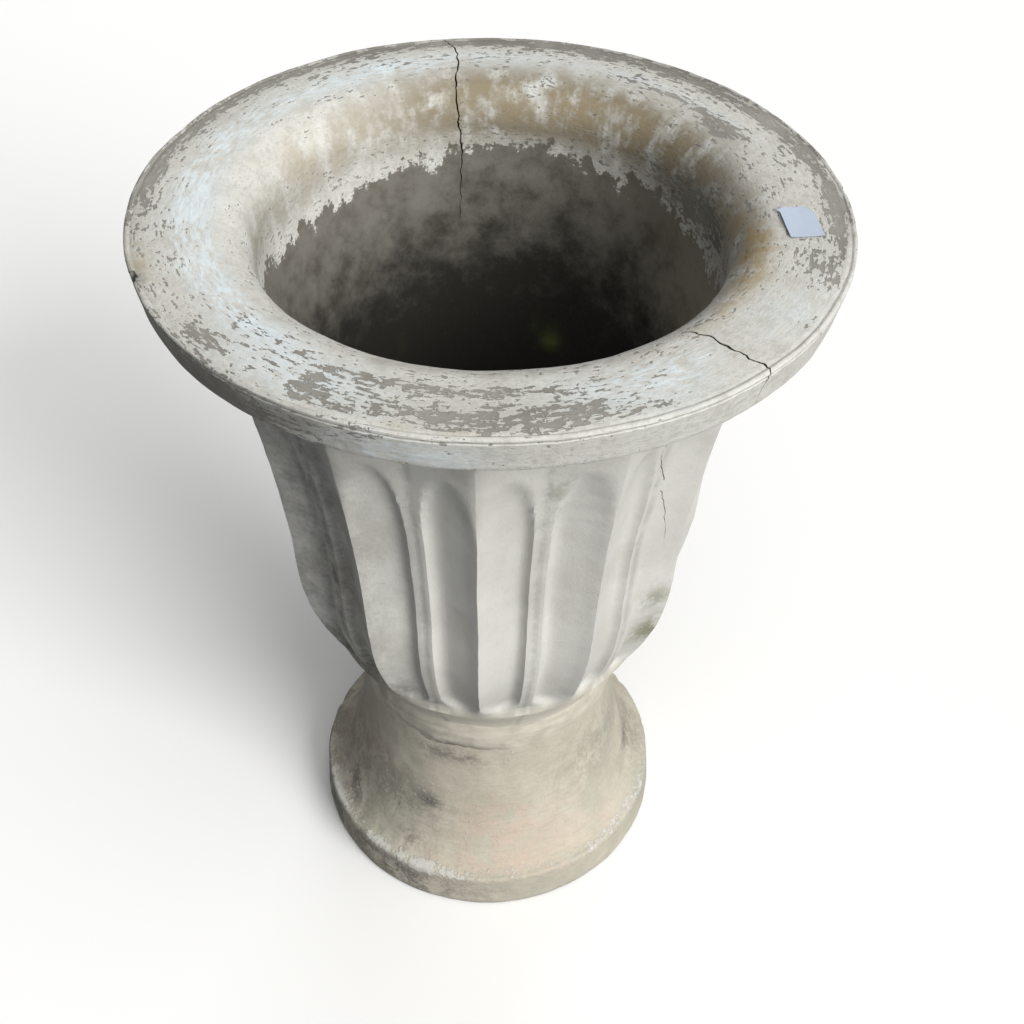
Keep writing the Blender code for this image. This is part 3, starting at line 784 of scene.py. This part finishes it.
# A darker, browner wash inside the rim, strongest at the back of the mouth, which faces the lamps: painted
# shade there, with a brownish tint.
DUST_AND_SHADE_SPOTS = (
    (-168, 134, 34, 34, 0.50), (168, 126, 36, 34, 1.0), (125, 132, 30, 34, 0.80), (-120, 160, 30, 24, 0.30),
    (-85, 150, 24, 26, 0.45), (80, 125, 20, 24, 0.5), (0, 100, 60, 5, 0.25))
# The first three spots darken the fascia on the left and back-left, turned from the lamps: painted shade,
# with some mildew.
RIM_GRIME_AND_SHADE_SPOTS = (
    (-70, 12, 50, 22, 0.60), (-36, 12, 16, 20, 0.42), (-150, 20, 60, 24, 0.4), (122, 88, 7, 10, 0.3),
    (150, 42, 40, 12, 0.40), (88, 40, 10, 10, 0.35), (-66, 37, 2, 5, 0.7))
MOSS_SPOTS = ((160, 356, 3.5, 9, 0.9), (166, 340, 2, 5, 0.5), (-146, 352, 2, 5, 0.4))

# The same on the leaves, the foot and the mortar, with heights in place of lengths along the profile.
# On the leaves: painted shade where the flutes end over the collar, painted shadow under the rim beside the
# front ridge, and a long darker streak down a front-left leaf.
LEAF_GRIME_AND_SHADE_SPOTS = (
    (-60, 300, 30, 40, 0.35), (-30, 300, 20, 14, 0.3), (20, 296, 60, 8, 0.12), (-4, 655, 4, 25, 0.3),
    (-42, 470, 16, 220, 0.28))
ALGAE_SPOTS = (
    (58, 345, 7, 22, 0.8), (55, 395, 4, 14, 0.6), (16, 600, 3, 40, 0.35), (-45, 330, 12, 30, 0.25))
CRUST_SPOTS = (
    (-66, 42, 12, 60, 0.9), (-22, 42, 18, 60, 0.85), (55, 42, 40, 60, 0.55), (-42, 42, 5, 60, 0.6))
PINK_SPOTS = (
    (10, 90, 24, 40, 0.8), (35, 48, 24, 16, 0.55), (-5, 48, 20, 10, 0.45), (-88, 55, 22, 24, 0.5),
    (-65, 120, 20, 50, 0.35), (150, 70, 40, 40, 0.5))
# The first spot is painted shade in the hollow at the neck's front-left, with some mould; the rest are soot
# and mildew.
FOOT_GRIME_AND_SHADE_SPOTS = (
    (-16, 182, 16, 9, 0.70), (-30, 100, 16, 28, 0.28), (-38, 79, 4, 6, 0.75), (-24, 108, 5, 7, 0.6),
    (-62, 60, 8, 12, 0.5), (-60, 105, 30, 50, 0.26), (86, 70, 6, 8, 0.5), (-75, 22, 60, 24, 0.65),
    (-28, 20, 22, 24, 0.35), (-28, 58, 6, 9, 0.4), (60, 140, 30, 40, 0.25), (95, 60, 20, 30, 0.3),
    (-120, 80, 50, 60, 0.35))
# The first spot carries the foot's painted shade in the neck's hollow up onto the mortar, with some mould.
MORTAR_GRIME_AND_SHADE_SPOTS = ((-14, 195, 20, 10, 0.75), (-75, 225, 50, 50, 0.35), (88, 205, 12, 14, 0.4))

# Where the wash stops inside: azimuth in degrees, place along the profile in millimetres.
TIDE_LINE = ((-180, 167), (-165, 174), (-150, 180), (-135, 191), (-118, 197), (-95, 188), (-60, 182),
             (60, 182), (90, 189), (112, 191), (127, 170), (145, 179), (160, 166), (180, 167))


def paint_bowl(mesh, sizes):
    """Store where the wash is bare, thick or stained, where soot, mildew, algae and soil lie, and where shade
    or light is painted: painted shade in the leaves' folds, under the rim, down the left of the leaves and
    the fascia, and round the back of the mouth, and painted light on the right of the inner wall.
    """
    points = points_of(mesh)
    azimuth = azimuths_of(points)
    radius = np.hypot(points[:, 0], points[:, 1])
    height = points[:, 2]
    line = ridge_line()
    outer_wall = np.interp(height, line[:, 1], line[:, 0]) - 0.030
    leaf = (height < UNDERSIDE + 0.0002) & (radius > outer_wall)
    along = np.where(leaf, -10.0, profile_length(points))
    inside = (~leaf) & (along > 95)

    flats = np.abs((np.radians(azimuth) - sizes.leaf_turn) * sizes.leaves / pi) % 2
    across = 1 - np.abs(1 - flats)
    # Painted shade: the leaves are darkened in their folds, under the rim's overhang and down the left side,
    # away from the lamps; the left side has some real mildew too.
    fold_shade = smoothstep(0.88, 1.0, across)
    under_rim_shadow = smoothstep(UNDERSIDE - 0.050, UNDERSIDE, height)
    left = smoothstep(0.1, 0.9, np.sin(np.radians(-azimuth - 5)))

    tide_line = np.interp(azimuth, *zip(*TIDE_LINE))
    # Painted shade and light: the soil reaches higher at the back, which faces the lamps, and lower on the
    # right, which they don't reach.
    soil_shift_for_light = 30 * np.cos(np.radians(azimuth - 190)) - 38 * np.exp(-((azimuth - 75) / 50) ** 2)
    # The leaves' darkness: painted shade in the folds, under the rim and down the left side, over a little
    # mildew, with the spots below.
    leaf_grime_and_shade = (0.06 + 0.35 * fold_shade + 0.30 * under_rim_shadow * (0.4 + 0.6 * left) + 0.52 * left
                  + patches(azimuth, height * 1000, LEAF_GRIME_AND_SHADE_SPOTS, 0.0))
    rim_grime_and_shade = patches(azimuth, along, RIM_GRIME_AND_SHADE_SPOTS, 0.06)
    algae = patches(azimuth, height * 1000, ALGAE_SPOTS, 0.0)
    below_fluting = smoothstep(FLUTING_BASE + 0.004, FLUTING_BASE - 0.003, height)
    marks = {
        "leaf": leaf,
        "collar": np.where(leaf, below_fluting, 0.0),
        "inside": inside,
        "rim": ~leaf & (along < 160),
        "bare": np.clip(patches(azimuth, along, BARE_SPOTS, 0.34), 0, 1),
        "thick": np.clip(patches(azimuth, along, THICK_SPOTS, 0.12), 0, 1),
        "dust_and_shade": np.clip(patches(azimuth, along, DUST_AND_SHADE_SPOTS, 0.05), 0, 1),
        "moss": patches(azimuth, along, MOSS_SPOTS, 0.0),
        "ochre": np.clip(patches(azimuth, along, OCHRE_SPOTS, 0.06), 0, 1),
        "grime_and_shade": np.clip(np.where(leaf, leaf_grime_and_shade, rim_grime_and_shade), 0, 1),
        "algae": np.where(leaf, np.clip(algae, 0, 1), 0.0),
        "tide": (along - tide_line) / 1000,
        # Painted light: paler on the right of the inner wall, which the lamps don't reach.
        "pale": 0.90 * np.exp(-((azimuth - 78) / 38) ** 2 - ((along - 230) / 90) ** 2),
        "soil": (along - tide_line + soil_shift_for_light) / 1000,
    }
    for name, values in marks.items():
        give_attribute(mesh, name, values)


class UrnMakeBowl(bpy.types.Operator):
    """Make the fluted bowl with its cracked and chipped rim"""
    bl_idname = "urn.make_bowl"
    bl_label = "Bowl"

    def execute(self, context):
        sizes, colours = context.scene.urn_sizes, context.scene.urn_colours
        stone, broken = limewashed_stone(colours), broken_stone(colours)
        blank = bowl_blank(sizes.leaves, sizes.leaf_turn, sizes.flute_share, sizes.flute_gap)
        bowl = place("urn_bowl", blank)
        tree, inputs = fluting_tree(sizes, stone)
        fluting = bowl.modifiers.new("Fluting", "NODES")
        fluting.node_group = tree
        for identifier, value in inputs.items():
            fluting[identifier] = float(value) if isinstance(value, int) else value
        settle(bowl)
        width = sizes.crack_width
        cutters = [
            crack_blade("back_crack", rim_crack_line(BACK_CRACK), 0.8 * width, 0.009, inside_rim, seed=2.0),
            crack_blade("front_crack", rim_crack_line(FRONT_CRACK), width, 0.009, inside_rim, seed=4.0),
            crack_blade("body_crack", body_crack_line(BODY_CRACK, bowl), 0.5 * width, 0.003, inside_leaf,
                        seed=6.0),
            arris_chips()]
        for cutter in cutters:
            cutter.data.materials.append(broken)
            cut = bowl.modifiers.new(cutter.name, "BOOLEAN")
            cut.operation, cut.object = "DIFFERENCE", cutter
            cut.solver, cut.material_mode = "EXACT", "TRANSFER"
        mesh = settle(bowl)
        for cutter in cutters:
            bpy.data.objects.remove(cutter, do_unlink=True)
        paint_bowl(mesh, sizes)
        points = let_wander(points_of(mesh), sizes.waviness, 0.060, 0.014, 1)
        keep_within(points, RIM, BOWL_LOW.z, TOP)
        put_points(mesh, points)
        smooth(mesh, 38)
        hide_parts("bowl")
        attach(bowl, "root")
        return {"FINISHED"}


# ---------------------------------------------------------------- the foot, the mortar and the sticker
def foot_outline():
    """A closed outline: the band, the sweep to the neck, the socket and the hollow underneath."""
    radius = FOOT_HIGH.x - 0.0004       # just inside the frame's facets
    top, band, crown = FOOT_HIGH.z, BAND_HEIGHT, HOLLOW_CROWN
    edge = [(radius - 0.0045, 0.0), (radius - 0.0025, 0.0006), (radius - 0.0008, 0.0022),
            (radius - 0.0001, 0.0045)]
    side = between((radius - 0.0001, 0.0045), (radius - 0.0020, band - 0.0045), 9)[1:]
    arris = [(radius - 0.0020, band - 0.0045), (radius - 0.0023, band - 0.0028),
             (radius - 0.0032, band - 0.0012), (radius - 0.0046, band - 0.0003)]
    start = (radius - 0.0062, band)
    sweep = bezier(start, (NECK + 0.40 * (start[0] - NECK), band + 0.08 * (top - band)),
                   (NECK, band + 0.45 * (top - band)), (NECK, top), 44)
    socket = [(SOCKET_RADIUS, top), (SOCKET_RADIUS, SOCKET_FLOOR), (FOOT_DRAIN_RADIUS, SOCKET_FLOOR),
              (FOOT_DRAIN_RADIUS, crown)]
    hollow = bezier((NECK - 0.030, crown), (NECK - 0.030, 0.5 * crown), (0.118, 0.3 * crown),
                    (radius - 0.030, 0.0), 14)
    return np.vstack((edge, side, arris, sweep, socket, hollow))


class UrnMakeFoot(bpy.types.Operator):
    """Make the turned foot with its worn band"""
    bl_idname = "urn.make_foot"
    bl_label = "Foot"

    def execute(self, context):
        sizes, colours = context.scene.urn_sizes, context.scene.urn_colours
        mesh = spin("urn_foot", foot_outline(), np.linspace(0, tau, 360, endpoint=False))
        mesh.materials.append(weathered_foot(colours))
        points = points_of(mesh)
        azimuth, height = azimuths_of(points), points[:, 2] * 1000
        radius = np.hypot(points[:, 0], points[:, 1])
        crust = np.exp(-((radius - 0.170) / 0.010) ** 2 - ((height - 41) / 7) ** 2)
        give_attribute(mesh, "crust", crust * patches(azimuth, height, CRUST_SPOTS, 0.15))
        give_attribute(mesh, "pink", np.clip(patches(azimuth, height, PINK_SPOTS, 0.10), 0, 1))
        give_attribute(mesh, "grime_and_shade", np.clip(patches(azimuth, height, FOOT_GRIME_AND_SHADE_SPOTS, 0.10), 0, 1))
        points = let_wander(points, sizes.waviness, 0.050, 0.012, 3)
        worn = np.exp(-((height - 41) / 4) ** 2) * smoothstep(0.168, 0.176, radius)
        knocks = np.clip(unevenness(points, 0.011, 5)[:, 0] - 0.10, 0, 1)
        points *= 1 - 0.020 * (worn * knocks)[:, None]
        keep_within(points, FOOT_HIGH.x - 0.0001, 0.0, FOOT_HIGH.z)
        put_points(mesh, points)
        smooth(mesh, 40)
        foot = place("urn_foot", mesh)
        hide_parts("foot")
        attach(foot, "root")
        return {"FINISHED"}


class UrnMakeMortar(bpy.types.Operator):
    """Make the mortar bed with its wiped collar"""
    bl_idname = "urn.make_mortar"
    bl_label = "Mortar bed"

    def execute(self, context):
        low, high = BED_LOW.z, BED_HIGH.z
        joint = FOOT_HIGH.z
        waist = (NECK + 0.0024, 0.5 * (joint + high))
        collar = bezier((NECK - 0.0006, joint - 0.020), (NECK + 0.0006, joint - 0.012),
                        (waist[0], joint - 0.005), waist, 9)
        upper = bezier(waist, (waist[0], high + 0.004), (NECK + 0.0022, high + 0.013),
                       (NECK + 0.0012, high + 0.028), 12)[1:]
        inner = [(NECK - 0.006, high), (SPIGOT_RADIUS + FIT_GAP, high), (SPIGOT_RADIUS + FIT_GAP, low),
                 (SOCKET_RADIUS - FIT_GAP, low), (SOCKET_RADIUS - FIT_GAP, joint + FIT_GAP),
                 (NECK - 0.006, joint + FIT_GAP)]
        outline = np.vstack((collar, upper, inner))
        mesh = spin("mortar_collar", outline, np.linspace(0, tau, 288, endpoint=False))
        mesh.materials.append(lime_mortar(context.scene.urn_colours))
        points = points_of(mesh)
        radius = np.hypot(points[:, 0], points[:, 1])
        grime_and_shade = patches(azimuths_of(points), points[:, 2] * 1000, MORTAR_GRIME_AND_SHADE_SPOTS, 0.06)
        give_attribute(mesh, "grime_and_shade", np.clip(grime_and_shade, 0, 1))
        drag = (unevenness(points * (1, 1, 3), 0.024, 6)[:, 0] * 0.0014
                + unevenness(points, 0.007, 7)[:, 0] * 0.0004)
        moved = np.where(radius > NECK - 0.001, 0.7 * drag, 0.0)
        points[:, :2] *= ((radius + moved) / radius)[:, None]
        put_points(mesh, points)
        smooth(mesh, 40)
        collar_piece = place("mortar_collar", mesh)
        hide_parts("mortar_bed")
        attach(collar_piece, "root")
        return {"FINISHED"}


STICKER_WIDTH = 0.0265                  # across the rim
STICKER_LENGTH = 0.0415                 # round the rim
STICKER_TURN = radians(7.0)             # how crooked it was stuck on
PAPER_THICKNESS = 0.00018
# The sticker's crumpled facets, each a plane: its lean across, its lean along and its rise in the middle.
STICKER_FACETS = ((0.9, 0.3, 0.25), (-1.1, 0.5, 0.22), (0.2, -1.0, 0.20), (-0.3, 0.9, 0.10), (0.1, 0.1, 0.30))


class UrnMakeSticker(bpy.types.Operator):
    """Make the blank, crumpled paper sticker on the rim"""
    bl_idname = "urn.make_sticker"
    bl_label = "Sticker"

    def execute(self, context):
        middle = (LABEL_LOW + LABEL_HIGH) / 2
        lowest, highest = LABEL_LOW.z + 0.0001, LABEL_HIGH.z
        turn = Matrix.Rotation(STICKER_TURN, 3, "Z")
        mesh = bmesh.new()
        across, lengthwise = 22, 32
        grid = []
        for i in range(across + 1):
            row = []
            for j in range(lengthwise + 1):
                u, v = i / across - 0.5, j / lengthwise - 0.5
                snip = max(0.0, u + v - 0.78) + max(0.0, v - u - 0.84)
                fold = max(lean_u * u + lean_v * v + rise for lean_u, lean_v, rise in STICKER_FACETS)
                curl = 6.0 * max(0.0, abs(u) + abs(v) - 0.72) ** 2
                lift = min(1.0, fold + curl + 0.15 * noise.noise(Vector((u * 4, v * 4, 1.0))))
                spot = turn @ Vector((STICKER_WIDTH * (u - 0.5 * snip),
                                      STICKER_LENGTH * (v - 0.6 * snip), 0.0))
                z = lowest + max(0.0, lift) * (highest - lowest - 0.0003)
                row.append(mesh.verts.new((middle.x + spot.x, middle.y + spot.y, z)))
            grid.append(row)
        for i in range(across):
            for j in range(lengthwise):
                mesh.faces.new((grid[i][j], grid[i + 1][j], grid[i + 1][j + 1], grid[i][j + 1]))
        data = bpy.data.meshes.new("paper_sticker")
        mesh.to_mesh(data)
        mesh.free()
        data.materials.append(uncoated_paper(context.scene.urn_colours))
        sticker = place("paper_sticker", data)
        sheet = sticker.modifiers.new("Thickness", "SOLIDIFY")
        sheet.thickness, sheet.offset = PAPER_THICKNESS, 1.0
        smooth(settle(sticker), 50)
        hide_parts("paper_label")
        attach(sticker, "root")
        return {"FINISHED"}


# ---------------------------------------------------------------- the stage
FLOOR_HALF = 40.0
# Lamps: name, azimuth and height in degrees, width of the light in degrees, strength.
LAMPS = (("key_softbox", 34, 56, 70, 1.70), ("side_softbox", 44, 28, 34, 3.05),
         ("back_fill", 170, 27, 30, 0.62))
CAMERA_PLACE = (0.0207, -0.9583, 1.3228)
CAMERA_DIP = 0.769                      # radians below the level
CAMERA_ROLL = 0.0224
FOCAL_LENGTH = 50.13                    # millimetres, on a sensor 36 mm wide


class UrnMakeStage(bpy.types.Operator):
    """Make the pale floor, the soft studio light and the camera"""
    bl_idname = "urn.make_stage"
    bl_label = "Stage"

    def execute(self, context):
        scene = context.scene
        half = FLOOR_HALF
        mesh = bpy.data.meshes.new("studio_floor")
        mesh.from_pydata([(-half, -half, 0), (half, -half, 0), (half, half, 0), (-half, half, 0)], [],
                         [(0, 1, 2, 3)])
        mesh.materials.append(studio_floor(scene.urn_colours))
        floor = place("studio_floor", mesh)
        floor.visible_diffuse = False     # it throws no light back up at the urn
        for name, side, height, width, strength in LAMPS:
            side, height = radians(side), radians(height)
            lamp = bpy.data.lights.new(name, "SUN")
            lamp.energy, lamp.angle, lamp.color = strength, radians(width), linear("fffefc")
            light = bpy.data.objects.new(name, lamp)
            aim = Vector((sin(side) * cos(height), -cos(side) * cos(height), sin(height)))
            light.rotation_euler = aim.to_track_quat("Z", "Y").to_euler()
            light.location = 3.0 * aim
            scene.collection.objects.link(light)
        world = bpy.data.worlds.new("studio")
        world.use_nodes = True
        sky = world.node_tree.nodes["Background"]
        sky.inputs["Color"].default_value = (0.93, 0.96, 1.0, 1.0)
        sky.inputs["Strength"].default_value = 0.155
        scene.world = world
        lens = bpy.data.cameras.new("camera")
        lens.lens, lens.sensor_width, lens.clip_end = FOCAL_LENGTH, 36.0, 90.0
        camera = bpy.data.objects.new("camera", lens)
        camera.matrix_world = (Matrix.Translation(CAMERA_PLACE) @ Matrix.Rotation(pi / 2 - CAMERA_DIP, 4, "X")
                               @ Matrix.Rotation(CAMERA_ROLL, 4, "Z"))
        scene.collection.objects.link(camera)
        scene.camera = camera
        scene.view_settings.view_transform = "Standard"
        scene.view_settings.look = "None"
        return {"FINISHED"}


class UrnPanel(bpy.types.Panel):
    """Buttons that make the urn, piece by piece"""
    bl_idname = "VIEW3D_PT_urn"
    bl_label = "Garden urn"
    bl_space_type = "VIEW_3D"
    bl_region_type = "UI"
    bl_category = "Urn"

    def draw(self, context):
        for maker in MAKERS:
            self.layout.operator(maker.bl_idname)
        for group in (context.scene.urn_sizes, context.scene.urn_colours):
            for name in group.__annotations__:
                self.layout.prop(group, name)


MAKERS = (UrnMakeStage, UrnMakeBowl, UrnMakeFoot, UrnMakeMortar, UrnMakeSticker)
CLASSES = (UrnSizes, UrnColours, *MAKERS, UrnPanel)


def register():
    for one in CLASSES:
        bpy.utils.register_class(one)
    bpy.types.Scene.urn_sizes = PointerProperty(type=UrnSizes)
    bpy.types.Scene.urn_colours = PointerProperty(type=UrnColours)


def unregister():
    del bpy.types.Scene.urn_colours
    del bpy.types.Scene.urn_sizes
    for one in reversed(CLASSES):
        bpy.utils.unregister_class(one)


def main():
    register()
    bpy.ops.urn.make_stage()
    bpy.ops.urn.make_bowl()
    bpy.ops.urn.make_foot()
    bpy.ops.urn.make_mortar()
    bpy.ops.urn.make_sticker()


if __name__ == "__main__":
    main()
